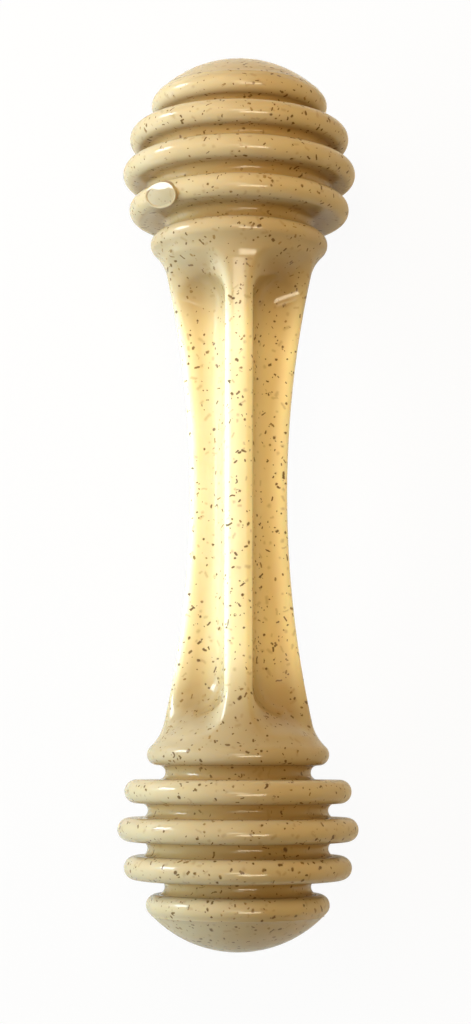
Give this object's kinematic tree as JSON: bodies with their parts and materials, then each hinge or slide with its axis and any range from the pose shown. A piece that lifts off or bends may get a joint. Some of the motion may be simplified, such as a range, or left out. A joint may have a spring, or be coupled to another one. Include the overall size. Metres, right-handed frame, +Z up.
{
  "type": "nylon chew bone",
  "caption": "Nylon dog chew bone with a waisted, fluted shank between two ball ends that grooves divide into rings and domed caps.",
  "frame": {"origin": "on the floor under the middle of the bone, which lies on the rims of its two middle rings", "axes": "+X along the bone towards the ball end that carries the gate stub, +Z up through the top rib"},
  "size_m": [0.178, 0.047, 0.047],
  "materials": {
    "nylon_shank": "glossy translucent cream nylon with dark brown flecks",
    "nylon_ends": "glossy translucent cream nylon with dark brown flecks",
    "gate_nylon": "freshly cut glossy cream nylon"
  },
  "bodies": {
    "root": {"shank": "nylon_shank", "left_collar": "nylon_shank", "left_inner_ring": "nylon_ends", "left_middle_ring": "nylon_ends", "left_outer_ring": "nylon_ends", "left_cap": "nylon_ends", "right_collar": "nylon_shank", "right_inner_ring": "nylon_ends", "right_middle_ring": "nylon_ends", "right_outer_ring": "nylon_ends", "right_cap": "nylon_ends", "gate_stub": "gate_nylon"}
  },
  "joints": []
}
